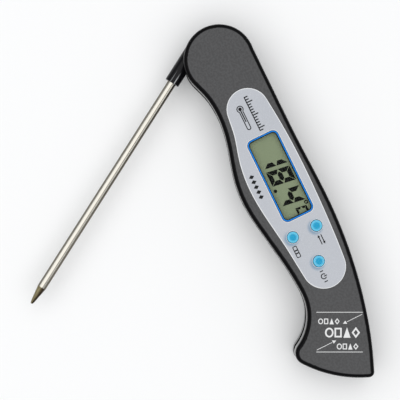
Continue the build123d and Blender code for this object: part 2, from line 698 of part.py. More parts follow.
def cell_lead(name, plate_x, reach):
    """A short insulated wire from a contact's back to the underside of the board."""
    solder_z = CONTACT_Z[1] - CELL_LEAD_FROM_TOP
    with BuildPart() as lead:
        with BuildLine():
            route = FilletPolyline(
                (plate_x, CELL_Y, solder_z),
                (plate_x + reach, CELL_Y, solder_z),
                (plate_x + reach, CELL_Y, BOARD_Z),
                radius=CELL_LEAD_BEND,
            )
        with BuildSketch(Plane(origin=route @ 0, z_dir=route % 0)):
            Circle(CELL_LEAD_R)
        sweep()
    lead.part.label = name
    return lead.part


cell_lead_black = cell_lead("cell_lead_black", BAY_WALL_X[0] + BAY_WALL_T, -CELL_LEAD_REACH)
cell_lead_red = cell_lead("cell_lead_red", BAY_WALL_X[1], CELL_LEAD_REACH)

# ---------------------------------------------------------------- battery door
with BuildPart() as battery_door:
    with BuildSketch():
        with Locations(((DOOR_X[0] + DOOR_X[1] + DOOR_GAP - DOOR_LATCH_GAP) / 2, CELL_Y)):
            door_length = DOOR_SIZE[0] - DOOR_GAP - DOOR_LATCH_GAP
            RectangleRounded(door_length, DOOR_SIZE[1] - 2 * DOOR_GAP, DOOR_ROUND - DOOR_GAP)
    extrude(amount=DOOR_T)
    # grip grooves near the latch
    with BuildSketch():
        with Locations((DOOR_X[1] - GROOVES_FROM_END, CELL_Y)):
            with GridLocations(GROOVE_PITCH, 1, 5, 1):
                SlotOverall(*GROOVE_SIZE, rotation=90)
    extrude(amount=GROOVE_DEPTH, mode=Mode.SUBTRACT)
    # two tongues that hook behind the shell
    with Locations((0, CELL_Y - TONGUE_OFFSET, 0), (0, CELL_Y + TONGUE_OFFSET, 0)):
        with Locations((TONGUE_X[0], 0, TONGUE_Z[0])):
            tongue_size = (TONGUE_X[1] - TONGUE_X[0], TONGUE_WIDTH, TONGUE_Z[1] - TONGUE_Z[0])
            Box(*tongue_size, align=(Align.MIN, Align.CENTER, Align.MIN))
        with Locations((DOOR_X[0] + TONGUE_FOOT, 0, DOOR_T)):
            riser_size = (TONGUE_X[1] - DOOR_X[0] - TONGUE_FOOT, TONGUE_WIDTH, TONGUE_Z[0] - DOOR_T)
            Box(*riser_size, align=(Align.MIN, Align.CENTER, Align.MIN))
    # the springy latch, a bent strip beside the end wall
    with BuildSketch(Plane.XZ.offset(-CELL_Y)):
        with BuildLine():
            root_x = LATCH_X - LATCH_BEND + LATCH_STRIP
            Polyline(
                (root_x, DOOR_T),
                (root_x, LATCH_HEIGHT),
                (root_x + LATCH_BEND, LATCH_HEIGHT),
                (root_x + LATCH_BEND, LATCH_HOOK_Z),
                (root_x + LATCH_STRIP, LATCH_HOOK_Z),
                (root_x + LATCH_STRIP, DOOR_T),
                close=True,
            )
        make_face()
    extrude(amount=LATCH_HALF_WIDTH, both=True)
battery_door.part.label = "battery_door"

# ---------------------------------------------------------------- hinge
with BuildPart() as friction_washer:
    with BuildSketch(Plane.XY.offset(HUB_TOP + WASHER_GAP)):
        Circle(TRUNNION_R + BEARING_WALL)
        Circle(TRUNNION_R + WASHER_BORE_GAP, mode=Mode.SUBTRACT)
    extrude(amount=FRONT_RING_START - HUB_TOP - WASHER_GAP)
friction_washer.part.label = "friction_washer"

with BuildPart() as probe_hub:
    with BuildSketch(Plane.XY.offset(HUB_FLOOR)):
        Circle(HUB_R)
    extrude(amount=2 * HUB_HALF)
    with BuildSketch(Plane.XY.offset(HUB_FLOOR - TRUNNION_LENGTH)):
        Circle(TRUNNION_R)
    extrude(amount=2 * (HUB_HALF + TRUNNION_LENGTH))
    # the sleeve stands out of the drum along the probe
    with BuildSketch(across_probe(0)):
        Circle(SLEEVE_R)
    extrude(amount=SLEEVE_END)
    fillet(probe_hub.faces().sort_by(Axis(PROBE_PLANE.origin, PROBE_DIR))[-1].edges(), SLEEVE_ROUND)
    # well on the hinge axis, and the light-weighting pocket behind it
    with BuildSketch(Plane.XY.offset(CORE_FLOOR)):
        Circle(CORE_BORE_R)
    extrude(amount=THICKNESS - CORE_FLOOR, mode=Mode.SUBTRACT)
    with BuildSketch(PROBE_PLANE.offset(HUB_HALF)):
        Circle(HUB_R - HUB_RIM)
        Circle(TRUNNION_R + HUB_RIM, mode=Mode.SUBTRACT)
        with Locations((0, HUB_HOLLOW_EDGE)):
            Rectangle(TOOL_SIZE, TOOL_SIZE, align=(Align.CENTER, Align.MAX), mode=Mode.SUBTRACT)
    extrude(amount=-(2 * HUB_HALF - HUB_RIM), mode=Mode.SUBTRACT)
    # bore for the tube, and the leads' passage from it to the well
    with BuildSketch(across_probe(TUBE_ROOT)):
        Circle(TUBE_R + TUBE_GLUE_GAP)
    extrude(amount=SLEEVE_END, mode=Mode.SUBTRACT)
    with BuildSketch(across_probe(-LEAD_PASSAGE / 2)):
        Rectangle(LEAD_PASSAGE, LEAD_PASSAGE)
    extrude(amount=TUBE_ROOT + LEAD_PASSAGE / 2, mode=Mode.SUBTRACT)
    with BuildSketch(PROBE_PLANE.offset(-LEAD_PASSAGE / 2)):
        Rectangle(LEAD_PASSAGE, PROBE_OFFSET, align=(Align.CENTER, Align.MAX))
    extrude(amount=LEAD_PASSAGE, mode=Mode.SUBTRACT)
probe_hub.part.label = "probe_hub"

# ---------------------------------------------------------------- probe
# The room left by grinding the point: the whole tube, then four facets with a ridge on top.
with BuildPart() as ground_shape:
    with BuildSketch(across_probe(TUBE_ROOT)):
        Circle(2 * TUBE_R)
    extrude(amount=TAPER_START - TUBE_ROOT)
    with BuildSketch(across_probe(TAPER_START)):
        Rectangle(2 * TUBE_R, 2 * TUBE_R, rotation=45)
    with BuildSketch(across_probe(TIP_END)):
        Rectangle(2 * FACET_TIP_R, 2 * FACET_TIP_R, rotation=45)
    loft()

with BuildPart() as probe_tube:
    with BuildSketch(across_probe(TUBE_ROOT)):
        Circle(TUBE_R)
    extrude(amount=TAPER_START - TUBE_ROOT)
    with BuildSketch(across_probe(TAPER_START)):
        Circle(TUBE_R)
    with BuildSketch(across_probe(TIP_END)):
        Circle(TIP_R)
    loft()
    fillet(probe_tube.faces().sort_by(Axis(PROBE_PLANE.origin, PROBE_DIR))[-1].edges(), TIP_ROUND)
    add(ground_shape.part, mode=Mode.INTERSECT)
    with BuildSketch(across_probe(TUBE_ROOT)):
        Circle(TUBE_BORE_R)
    extrude(amount=BORE_END - TUBE_ROOT, mode=Mode.SUBTRACT)
probe_tube.part.label = "probe_tube"

LEAD_END = BEAD_X - 0.5
bead_centre = PROBE_PLANE.from_local_coords((BEAD_X, -PROBE_OFFSET, 0))

with BuildPart() as thermistor_bead:
    with Locations(bead_centre):
        Sphere(BEAD_R)
thermistor_bead.part.label = "thermistor_bead"


def probe_lead_route(side):
    """One of the two leads, from the bead up the tube and round into the well on the hinge axis."""
    level = side * LEAD_PITCH
    spread = LEAD_SPREAD * side
    # the pair stands across the handle where it meets the handle's own pair
    end_x = -spread * sin(radians(OPEN_ANGLE))
    end_y = spread * cos(radians(OPEN_ANGLE))
    corners = [
        (LEAD_END, -PROBE_OFFSET, level),
        (end_x, -PROBE_OFFSET, level),
        (end_x, end_y, level),
        (end_x, end_y, LEAD_MEET_Z - PARTING_Z),
    ]
    return [PROBE_PLANE.from_local_coords(corner) for corner in corners]


with BuildPart() as probe_leads:
    for side in (-1, 1):
        with BuildLine() as lead_line:
            FilletPolyline(*probe_lead_route(side), radius=[1.0, 1.0])
        with BuildSketch(Plane(origin=lead_line.line @ 0, z_dir=lead_line.line % 0)):
            Circle(LEAD_R)
        sweep(path=lead_line.line)
    add(thermistor_bead.part, mode=Mode.SUBTRACT)
probe_leads.part.label = "probe_leads"


def fill_tube(name, start, end, radius):
    """Resin that fills the tube between two places, round the leads and the bead."""
    with BuildPart() as filling:
        with BuildSketch(across_probe(start)):
            Circle(radius)
        extrude(amount=end - start)
        add(probe_leads.part, mode=Mode.SUBTRACT)
        add(thermistor_bead.part, mode=Mode.SUBTRACT)
    filling.part.label = name
    return filling.part


tip_potting = fill_tube("tip_potting", POTTING_START, BORE_END, TUBE_BORE_R)
tube_seal = fill_tube("tube_seal", TUBE_ROOT, TUBE_ROOT + SEAL_LENGTH, TUBE_BORE_R)

# ---------------------------------------------------------------- leads in the handle
with BuildPart() as board_leads:
    for side in (-1, 1):
        lead_y = LEAD_SPREAD * side
        with BuildLine() as lead_line:
            FilletPolyline(
                (0, lead_y, LEAD_MEET_Z + LEAD_GAP),
                (0, lead_y, LEAD_OVER_RING_Z),
                (LEAD_PAD_X, lead_y, LEAD_OVER_RING_Z),
                (LEAD_PAD_X, lead_y, BOARD_TOP),
                radius=[1.2, 1.0],
            )
        with BuildSketch(Plane.XY.offset(LEAD_MEET_Z + LEAD_GAP)):
            with Locations((0, lead_y)):
                Circle(LEAD_R)
        sweep(path=lead_line.line)
board_leads.part.label = "board_leads"

# ---------------------------------------------------------------- files
pieces = [
    front_shell.part,
    back_shell.part,
    faceplate.part,
    display_lens.part,
    lcd_glass,
    lcd_polariser,
    lcd_reflector,
    lcd_holder.part,
    zebra_strips.part,
    circuit_board.part,
    chip_blob.part,
    board_components.part,
    tact_switches.part,
    *key_parts,
    shell_screws.part,
    board_screws.part,
    aaa_cell.part,
    cell_plate_contact.part,
    cell_spring_contact.part,
    cell_lead_black,
    cell_lead_red,
    battery_door.part,
    friction_washer.part,
    probe_hub.part,
    probe_tube.part,
    thermistor_bead.part,
    probe_leads.part,
    tip_potting,
    tube_seal,
    board_leads.part,
]
for piece in pieces:
    export_step(piece, f"parts/{piece.label}.step")
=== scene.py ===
"""The looks of a folding meat thermometer lying on its back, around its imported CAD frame."""

from math import cos, pi, radians, sin

import bpy
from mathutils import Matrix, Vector

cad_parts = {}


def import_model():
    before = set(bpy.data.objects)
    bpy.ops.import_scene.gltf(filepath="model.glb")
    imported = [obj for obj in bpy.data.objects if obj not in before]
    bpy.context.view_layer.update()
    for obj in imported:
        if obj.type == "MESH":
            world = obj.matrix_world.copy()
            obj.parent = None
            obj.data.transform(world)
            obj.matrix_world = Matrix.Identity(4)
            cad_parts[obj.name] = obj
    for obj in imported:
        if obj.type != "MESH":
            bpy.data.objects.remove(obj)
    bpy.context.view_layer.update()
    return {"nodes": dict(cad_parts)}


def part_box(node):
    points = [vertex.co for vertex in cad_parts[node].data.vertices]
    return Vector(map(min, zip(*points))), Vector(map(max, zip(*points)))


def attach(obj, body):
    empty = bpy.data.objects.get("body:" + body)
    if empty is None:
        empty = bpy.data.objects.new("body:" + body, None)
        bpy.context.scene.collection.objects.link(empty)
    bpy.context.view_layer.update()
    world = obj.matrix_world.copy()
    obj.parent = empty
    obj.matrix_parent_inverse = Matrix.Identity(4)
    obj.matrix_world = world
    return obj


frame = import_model()
MM = 0.001

# ------------------------------------------------------------------ places, from the frame
SHELL_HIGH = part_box("front_shell")[1]
BACK_SHELL_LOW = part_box("back_shell")[0]
PLATE_LOW, PLATE_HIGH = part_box("faceplate")
LENS_LOW, LENS_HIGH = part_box("display_lens")
FILM_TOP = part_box("lcd_polariser")[1].z
LENS_CENTRE = (LENS_LOW + LENS_HIGH) / 2
KEYS = {name: sum(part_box(f"{name}_key"), Vector()) / 2 for name in ("units", "hold", "power")}
PROBE_ANGLE = radians(-58.5)
POINT_START = 120.9 * MM  # along the probe, where its ground point begins
PROBE_ACROSS = Vector((-sin(PROBE_ANGLE), cos(PROBE_ANGLE), 0))
VIEW_TURN = radians(64)  # the camera's turn about Z, which the tail's marks share
PRINT_THICK = 0.02 * MM
KEY_SHADE_SHIFT = Vector((0.35, -0.75, 0)) * MM  # the soft shade round each key leans this way


# ------------------------------------------------------------------ mesh helpers
SQUARE = ((-1, -1), (1, -1), (1, 1), (-1, 1))  # corners, anticlockwise, as are the outlines below
DIAMOND = ((0, -1), (1, 0), (0, 1), (-1, 0))
TRIANGLE = ((-1, -1), (1, -1), (0, 1))


def mesh_object(name, verts, faces, body):
    """A mesh piece that rides on a body, or on none."""
    mesh = bpy.data.meshes.new(name)
    mesh.from_pydata([tuple(v) for v in verts], [], faces)
    mesh.validate()
    mesh.update()
    piece = bpy.data.objects.new(name, mesh)
    bpy.context.scene.collection.objects.link(piece)
    if body:
        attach(piece, body)
    return piece


class Flat:
    """Flat printed shapes of one thickness, gathered into one mesh."""

    def __init__(self, bottom, thickness=PRINT_THICK):
        self.bottom = bottom
        self.top = bottom + thickness
        self.verts = []
        self.faces = []

    def polygon(self, points):
        """A filled convex or mildly concave outline, anticlockwise."""
        start = len(self.verts)
        count = len(points)
        self.verts += [(x, y, self.bottom) for x, y in points]
        self.verts += [(x, y, self.top) for x, y in points]
        self.faces.append([start + i for i in reversed(range(count))])
        self.faces.append([start + count + i for i in range(count)])
        for i in range(count):
            after = (i + 1) % count
            self.faces.append([start + i, start + after, start + count + after, start + count + i])

    def band(self, outer, inner, closed=True):
        """The strip between two outlines of the same number of points."""
        start = len(self.verts)
        count = len(outer)
        for z in (self.bottom, self.top):
            self.verts += [(x, y, z) for x, y in outer]
            self.verts += [(x, y, z) for x, y in inner]
        low_out, low_in, high_out, high_in = (start + count * k for k in range(4))
        for i in range(count if closed else count - 1):
            j = (i + 1) % count
            self.faces.append([low_out + j, low_out + i, low_in + i, low_in + j])
            self.faces.append([high_out + i, high_out + j, high_in + j, high_in + i])
            self.faces.append([low_out + i, low_out + j, high_out + j, high_out + i])
            self.faces.append([low_in + j, low_in + i, high_in + i, high_in + j])
        if not closed:
            last = count - 1
            self.faces.append([low_out, high_out, high_in, low_in])
            self.faces.append([low_out + last, low_in + last, high_in + last, high_out + last])

    def stroke(self, points, width, closed=False):
        """A line of even width through points, mitred at its corners."""
        points = [Vector(p) for p in points]
        count = len(points)
        left, right = [], []
        for i, point in enumerate(points):
            before = points[(i - 1) % count] if closed or i else point
            after = points[(i + 1) % count] if closed or i < count - 1 else point
            first = (point - before).normalized() if point != before else (after - point).normalized()
            second = (after - point).normalized() if after != point else first
            square = Vector((-(first + second).y, (first + second).x)).normalized()
            reach = width / 2 / max(square.dot(Vector((-first.y, first.x))), 0.3)
            left.append(point + square * reach)
            right.append(point - square * reach)
        self.band(right, left, closed)

    def disc(self, centre, radius, steps=24):
        self.polygon([polar(centre, radius, 2 * pi * i / steps) for i in range(steps)])

    def bar(self, centre, length, width):
        """A straight-ended bar, length along X."""
        self.polygon([(centre[0] + i * length / 2, centre[1] + j * width / 2) for i, j in SQUARE])

    def piece(self, name, material, slot):
        made = mesh_object(name, self.verts, self.faces, "handle")
        made.data.materials.append(material)
        return made


def polar(centre, radius, angle):
    return Vector((centre[0] + radius * cos(angle), centre[1] + radius * sin(angle)))


def arc(centre, radius, start, stop, steps=24):
    return [polar(centre, radius, radians(start + (stop - start) * i / steps)) for i in range(steps + 1)]


def turns(steps):
    """Angles once round, in radians."""
    return [2 * pi * i / steps for i in range(steps)]


def rounded_rectangle(centre, width, height, radius, steps=8):
    """Anticlockwise outline of a rectangle with round corners."""
    points = []
    for quarter, (i, j) in enumerate([(1, -1), (1, 1), (-1, 1), (-1, -1)]):
        corner = (centre[0] + i * (width / 2 - radius), centre[1] + j * (height / 2 - radius))
        points += arc(corner, radius, 90 * quarter - 90, 90 * quarter, steps)
    return points


# ------------------------------------------------------------------ material helpers
class Paint:
    """A Principled material whose nodes are added one call at a time."""

    def __init__(self, name, **sockets):
        self.material = bpy.data.materials.new(name)
        self.material.use_nodes = True
        self.tree = self.material.node_tree
        self.shader = self.tree.nodes["Principled BSDF"]
        self.set(**sockets)

    def set(self, **sockets):
        for key, value in sockets.items():
            self.shader.inputs[key.replace("_", " ")].default_value = value

    def node(self, kind, inputs=None, **settings):
        made = self.tree.nodes.new(kind)
        for key, value in settings.items():
            setattr(made, key, value)
        for key, value in (inputs or {}).items():
            if isinstance(value, bpy.types.NodeSocket):
                self.tree.links.new(value, made.inputs[key])
            else:
                made.inputs[key].default_value = value
        return made

    def link(self, socket, target):
        self.tree.links.new(socket, self.shader.inputs[target])

    def place(self):
        """Object coordinates, which stay with the piece as it moves."""
        return self.node("ShaderNodeTexCoord").outputs["Object"]

    def axis(self, letter, vector=None):
        """One of a place's X, Y and Z."""
        return self.node("ShaderNodeSeparateXYZ", {0: vector or self.place()}).outputs[letter]

    def probe_place(self):
        """Object coordinates turned so that X runs along the probe."""
        inputs = {"Vector": self.place(), "Rotation": (0, 0, -PROBE_ANGLE)}
        return self.node("ShaderNodeMapping", inputs).outputs[0]

    def noise(self, scale, detail=2.0, vector=None):
        inputs = {"Vector": vector or self.place(), "Scale": scale, "Detail": detail, "Roughness": 0.5}
        return self.node("ShaderNodeTexNoise", inputs).outputs["Fac"]

    def math(self, operation, first, second=0.0):
        return self.node("ShaderNodeMath", {0: first, 1: second}, operation=operation).outputs[0]

    def remap(self, value, low, high, to_low, to_high):
        """Takes a value smoothly from one range to another."""
        inputs = {"Value": value, "From Min": low, "From Max": high, "To Min": to_low, "To Max": to_high}
        return self.node("ShaderNodeMapRange", inputs, interpolation_type="SMOOTHSTEP").outputs["Result"]

    def blend(self, factor, first, second):
        """A number between two others."""
        return self.node("ShaderNodeMix", {0: factor, 2: first, 3: second}).outputs[0]

    def mix(self, factor, first, second):
        """A colour between two others."""
        inputs = {0: factor, 6: first, 7: second}
        return self.node("ShaderNodeMix", inputs, data_type="RGBA").outputs[2]

    def reach(self, centre):
        """Distance from an upright line through centre."""
        kind = "ShaderNodeVectorMath"
        away = self.node(kind, {0: self.place(), 1: tuple(centre)}, operation="SUBTRACT").outputs[0]
        flattened = self.node(kind, {0: away, 1: (1, 1, 0)}, operation="MULTIPLY").outputs[0]
        return self.node(kind, {0: flattened}, operation="LENGTH").outputs["Value"]

    def bump(self, height, distance, strength=1.0):
        inputs = {"Height": height, "Distance": distance, "Strength": strength}
        return self.node("ShaderNodeBump", inputs).outputs[0]

    def facing(self, direction):
        """How far the surface faces a direction of the object's own, from -1 to 1."""
        normal = self.node("ShaderNodeTexCoord").outputs["Normal"]
        inputs = {0: normal, 1: tuple(direction)}
        return self.node("ShaderNodeVectorMath", inputs, operation="DOT_PRODUCT").outputs["Value"]

    def line(self, value, centre, half):
        """A soft-edged line: 1 where value is at centre, 0 beyond half on either side."""
        away = self.math("ABSOLUTE", self.math("SUBTRACT", value, centre))
        return self.remap(away, half * 0.4, half, 1.0, 0.0)

    def level(self):
        """How level the surface is: 1 facing the front or the back, 0 upright."""
        normal = self.node("ShaderNodeTexCoord").outputs["Normal"]
        return self.math("ABSOLUTE", self.axis("Z", normal))


def simple(name, colour, roughness, grain=900.0, depth=0.01, **sockets):
    """A plain moulded or metal finish with a little unevenness in its colour, gloss and surface."""
    paint = Paint(name, **sockets)
    cloud = paint.noise(grain / 6, 3)
    fine = paint.noise(grain, 3)
    darker = tuple(c * 0.86 for c in colour[:3]) + (1.0,)
    paint.link(paint.mix(cloud, darker, tuple(colour[:3]) + (1.0,)), "Base Color")
    paint.link(paint.remap(fine, 0.3, 0.7, roughness * 0.85, roughness * 1.2), "Roughness")
    paint.link(paint.bump(fine, depth * MM), "Normal")
    return paint.material


# ------------------------------------------------------------------ materials
def handle_plastic():
    """Black plastic: a fine satin grain on the flat faces; polished on the rounded edges and walls,
    which are painted near-black as shade.
    """
    paint = Paint("handle_plastic")
    grain = paint.noise(4200, 2)
    speckle = paint.noise(1100, 3)
    cloud = paint.noise(60, 3)
    height = paint.axis("Z", paint.place())
    below_front = paint.math("SUBTRACT", SHELL_HIGH.z, height)
    above_back = paint.math("SUBTRACT", height, BACK_SHELL_LOW.z)
    flat = paint.remap(paint.math("MINIMUM", below_front, above_back), 0.004 * MM, 0.05 * MM, 1.0, 0.0)
    upright = paint.remap(paint.level(), 0.10, 0.35, 1.0, 0.0)
    tint = paint.mix(cloud, (0.029, 0.029, 0.030, 1), (0.044, 0.044, 0.046, 1))
    grained = paint.mix(paint.remap(speckle, 0.38, 0.62, 0.0, 0.6), tint, (0.061, 0.061, 0.064, 1))
    # painted shade: off the flat faces, on the rounded edges and the walls, the colour is near-black,
    # standing in for the dark surroundings they mirror
    paint.link(paint.mix(flat, (0.0025, 0.0025, 0.003, 1), grained), "Base Color")
    gloss = paint.remap(grain, 0.3, 0.7, 0.40, 0.55)
    polished = paint.remap(upright, 0.0, 1.0, 0.14, 0.07)
    paint.link(paint.blend(flat, polished, gloss), "Roughness")
    sheen = paint.remap(upright, 0.0, 1.0, 0.07, 0.4)
    paint.link(paint.blend(flat, sheen, 0.5), "Specular IOR Level")
    paint.link(paint.bump(paint.math("MULTIPLY", grain, flat), 0.03 * MM, 0.7), "Normal")
    return paint.material


def silver_plate():
    """Silver-painted plastic with fine flakes, with a painted highlight where the rim is rounded and
    painted shade round each key.
    """
    paint = Paint("silver_plate", Specular_IOR_Level=0.5)
    flakes = paint.noise(5200, 1)
    cloud = paint.noise(45, 2)
    rounded = paint.node("ShaderNodeBevel", {"Radius": 0.45 * MM}, samples=6).outputs[0]
    spaces = {"vector_type": "NORMAL", "convert_from": "WORLD", "convert_to": "OBJECT"}
    tilt = paint.node("ShaderNodeVectorTransform", {0: rounded}, **spaces).outputs[0]
    flat = paint.remap(paint.axis("Z", tilt), 0.93, 0.999, 0.0, 1.0)
    body = paint.mix(cloud, (0.425, 0.445, 0.485, 1), (0.48, 0.495, 0.53, 1))
    sparkling = paint.mix(paint.remap(flakes, 0.58, 0.70, 0.0, 0.6), body, (0.62, 0.64, 0.69, 1))
    for centre in KEYS.values():
        # painted shadow of each key: blue-grey, shifted by KEY_SHADE_SHIFT
        shade = paint.remap(paint.reach(centre + KEY_SHADE_SHIFT), 2.2 * MM, 3.9 * MM, 0.0, 1.0)
        sparkling = paint.mix(shade, (0.21, 0.30, 0.40, 1), sparkling)
    # painted highlight: near-white where the surface tilts away from level at the rounded rim
    paint.link(paint.mix(flat, (0.93, 0.94, 0.95, 1), sparkling), "Base Color")
    paint.link(paint.remap(flakes, 0.3, 0.7, 0.34, 0.48), "Roughness")
    paint.link(paint.bump(flakes, 0.006 * MM), "Normal")
    return paint.material


def key_plastic(name, centre):
    """Sky-blue translucent plastic, deeper in the middle of the dome."""
    paint = Paint(name, Specular_IOR_Level=0.2, Subsurface_Weight=0.2, Subsurface_Scale=1.0 * MM)
    core = paint.remap(paint.reach(centre), 1.0 * MM, 2.0 * MM, 0.0, 1.0)
    paint.link(paint.mix(core, (0.011, 0.33, 0.56, 1), (0.15, 0.57, 0.80, 1)), "Base Color")
    paint.link(paint.remap(paint.noise(600, 3), 0.3, 0.7, 0.2, 0.3), "Roughness")
    paint.link(paint.bump(paint.noise(900, 2), 0.004 * MM), "Normal")
    return paint.material


def steel_probe():
    """Drawn stainless tube, polished along its length and ground at the point, with painted dark sides
    and a painted dark reflection line; the point is yellowish brown, lighter on one half as painted
    light and dark on the other as painted shade.
    """
    paint = Paint("probe_steel", Metallic=1.0, Anisotropic=0.3)
    turned = paint.probe_place()
    streaked = paint.node("ShaderNodeMapping", {"Vector": turned, "Scale": (0.02, 1, 1)}).outputs[0]
    streaks = paint.noise(4200, 3, streaked)
    drift = paint.noise(30, 2)
    point = paint.remap(paint.axis("X", turned), POINT_START, POINT_START + 0.6 * MM, 0.0, 1.0)
    side = paint.remap(paint.level(), 0.62, 0.88, 0.0, 1.0)
    across = paint.facing(PROBE_ACROSS)
    bright = paint.mix(streaks, (0.58, 0.555, 0.495, 1), (0.70, 0.67, 0.60, 1))
    # painted reflection: a dark line along the tube, where the surface faces a little across it
    with_painted_dark_line = paint.mix(paint.line(across, 0.30, 0.13), bright, (0.20, 0.185, 0.155, 1))
    # painted shade: the tube's sides, where they turn away from the top, are darker
    body = paint.mix(side, (0.13, 0.115, 0.085, 1), with_painted_dark_line)
    # painted light and shade at the point: one half lighter and yellowish, the other dark
    lit = paint.mix(drift, (0.16, 0.135, 0.07, 1), (0.30, 0.26, 0.15, 1))
    point_lit_and_shaded = paint.mix(paint.remap(across, -0.25, 0.25, 0.0, 1.0), lit, (0.05, 0.038, 0.022, 1))
    paint.link(paint.mix(point, body, point_lit_and_shaded), "Base Color")
    paint.link(paint.remap(streaks, 0.3, 0.7, 0.16, 0.28), "Roughness")
    paint.link(paint.bump(streaks, 0.006 * MM), "Normal")
    return paint.material


def sleeve_plastic():
    """Glossy black plastic with two narrow painted highlights along the probe's sleeve."""
    paint = Paint("hub_plastic", Specular_IOR_Level=0.16)
    fine = paint.noise(700, 3)
    across = paint.facing(PROBE_ACROSS)
    strong_highlight = paint.line(across, 0.34, 0.075)
    weak_highlight = paint.math("MULTIPLY", paint.line(across, -0.22, 0.05), 0.5)
    past_hub = paint.remap(paint.axis("X", paint.probe_place()), 12 * MM, 17 * MM, 0.0, 1.0)
    # painted highlights: two light lines, set by which way the surface faces
    streaks = paint.math("MULTIPLY", paint.math("MAXIMUM", strong_highlight, weak_highlight), past_hub)
    paint.link(paint.mix(streaks, (0.004, 0.004, 0.005, 1), (0.42, 0.43, 0.44, 1)), "Base Color")
    paint.link(paint.remap(fine, 0.3, 0.7, 0.07, 0.1), "Roughness")
    paint.link(paint.bump(fine, 0.003 * MM), "Normal")
    return paint.material


def display_glass():
    """The olive reflective background of a plain liquid-crystal display."""
    paint = Paint("display_glass", Specular_IOR_Level=0.15)
    cloud = paint.noise(55, 2)
    paint.link(paint.mix(cloud, (0.215, 0.262, 0.155, 1), (0.245, 0.292, 0.18, 1)), "Base Color")
    paint.link(paint.remap(paint.noise(2500, 2), 0.3, 0.7, 0.42, 0.55), "Roughness")
    paint.link(paint.bump(paint.noise(3500, 2), 0.002 * MM), "Normal")
    return paint.material


def clear_lens():
    """Clear moulded window: nearly all see-through, with an anti-glare surface."""
    paint = Paint("clear_lens", Specular_IOR_Level=0.04, Alpha=0.03)
    smudges = paint.noise(120, 4)
    paint.link(paint.mix(smudges, (0.10, 0.12, 0.10, 1), (0.16, 0.18, 0.16, 1)), "Base Color")
    paint.link(paint.remap(smudges, 0.35, 0.65, 0.06, 0.14), "Roughness")
    return paint.material


NODE_PAINT = {
    "front_shell": handle_plastic(),
    "faceplate": silver_plate(),
    "display_lens": clear_lens(),
    "lcd_polariser": display_glass(),
    "lcd_glass": simple("lcd_cell", (0.26, 0.31, 0.20), 0.2, 500, 0.002),
    "lcd_reflector": simple("lcd_foil", (0.45, 0.48, 0.42), 0.4, 700, 0.003),
    "lcd_holder": simple("holder_plastic", (0.72, 0.72, 0.70), 0.5, 900, 0.01),
    "zebra_strips": simple("zebra_rubber", (0.42, 0.42, 0.46), 0.7, 2500, 0.02),
    "circuit_board": simple("board_laminate", (0.03, 0.16, 0.07), 0.35, 1200, 0.01),
    "chip_blob": simple("chip_resin", (0.012, 0.012, 0.012), 0.25, 500, 0.02),
    "board_components": simple("component_body", (0.28, 0.20, 0.13), 0.5, 1500, 0.01),
    "tact_switches": simple("switch_plastic", (0.03, 0.03, 0.03), 0.45, 1200, 0.01),
    "shell_screws": simple("screw_steel", (0.42, 0.42, 0.43), 0.32, 1500, 0.01, Metallic=1.0),
    "board_screws": simple("small_screw_steel", (0.42, 0.42, 0.43), 0.32, 1500, 0.01, Metallic=1.0),
    "aaa_cell": simple("cell_sleeve", (0.05, 0.09, 0.11), 0.3, 500, 0.005),
    "cell_plate_contact": simple("contact_nickel", (0.62, 0.60, 0.55), 0.28, 900, 0.005, Metallic=1.0),
    "cell_lead_black": simple("black_insulation", (0.015, 0.015, 0.015), 0.35, 900, 0.005),
    "cell_lead_red": simple("red_insulation", (0.42, 0.015, 0.012), 0.35, 900, 0.005),
    "friction_washer": simple("washer_plastic", (0.62, 0.62, 0.58), 0.4, 900, 0.005),
    "probe_hub": sleeve_plastic(),
    "probe_tube": steel_probe(),
    "thermistor_bead": simple("bead_glass", (0.30, 0.12, 0.03), 0.15, 900, 0.002),
    "tip_potting": simple("potting_resin", (0.55, 0.55, 0.52), 0.5, 900, 0.01),
}
SAME_PAINT = {
    "back_shell": "front_shell",
    "battery_door": "front_shell",
    "cell_spring_contact": "cell_plate_contact",
    "probe_leads": "cell_lead_black",
    "board_leads": "cell_lead_black",
    "tube_seal": "tip_potting",
    "units_plunger": "tact_switches",
    "hold_plunger": "tact_switches",
    "power_plunger": "tact_switches",
}
for node, twin in SAME_PAINT.items():
    NODE_PAINT[node] = NODE_PAINT[twin]
for key, centre in KEYS.items():
    NODE_PAINT[f"{key}_key"] = key_plastic(f"{key}_key_plastic", centre)
for node, material in NODE_PAINT.items():
    mesh = frame["nodes"][node].data
    mesh.materials.clear()
    mesh.materials.append(material)


# ------------------------------------------------------------------ the display's digits and border
DIGIT_LEAN = 0.14  # sideways shift of a digit's top, per unit of height
DIGIT_GAP = 0.10 * MM  # between neighbouring segments
CORNER_GAP = 1.4  # times the gap, where two segments meet at a corner
DIGIT_TALL = 10.2 * MM
DIGIT_STROKE = 1.95 * MM
# Each digit of the reading: its sign, then its left edge, lift and width in mm.
READING = [("1", 7.3, 0.2, 6.2), ("8", 15.0, 0.0, 6.5), ("4", 24.2, 0.1, 6.5)]
POINT_R = 0.75 * MM  # decimal point
RING_OUTER_R = 0.85 * MM  # degree sign
RING_INNER_R = 0.4 * MM
INK_GAP = 0.02 * MM  # from the film to the digits
INK_THICK = 0.03 * MM
# Each segment of a seven-segment sign, by its two ends on a unit square, clockwise. g is the middle bar.
SEGMENTS = {
    "a": ((0, 1), (1, 1)),
    "b": ((1, 1), (1, 0.5)),
    "c": ((1, 0.5), (1, 0)),
    "d": ((1, 0), (0, 0)),
    "e": ((0, 0), (0, 0.5)),
    "f": ((0, 0.5), (0, 1)),
    "g": ((0, 0.5), (1, 0.5)),
}
SIGNS = {"1": "bc", "8": "abcdefg", "4": "bcfg", "C": "adef"}


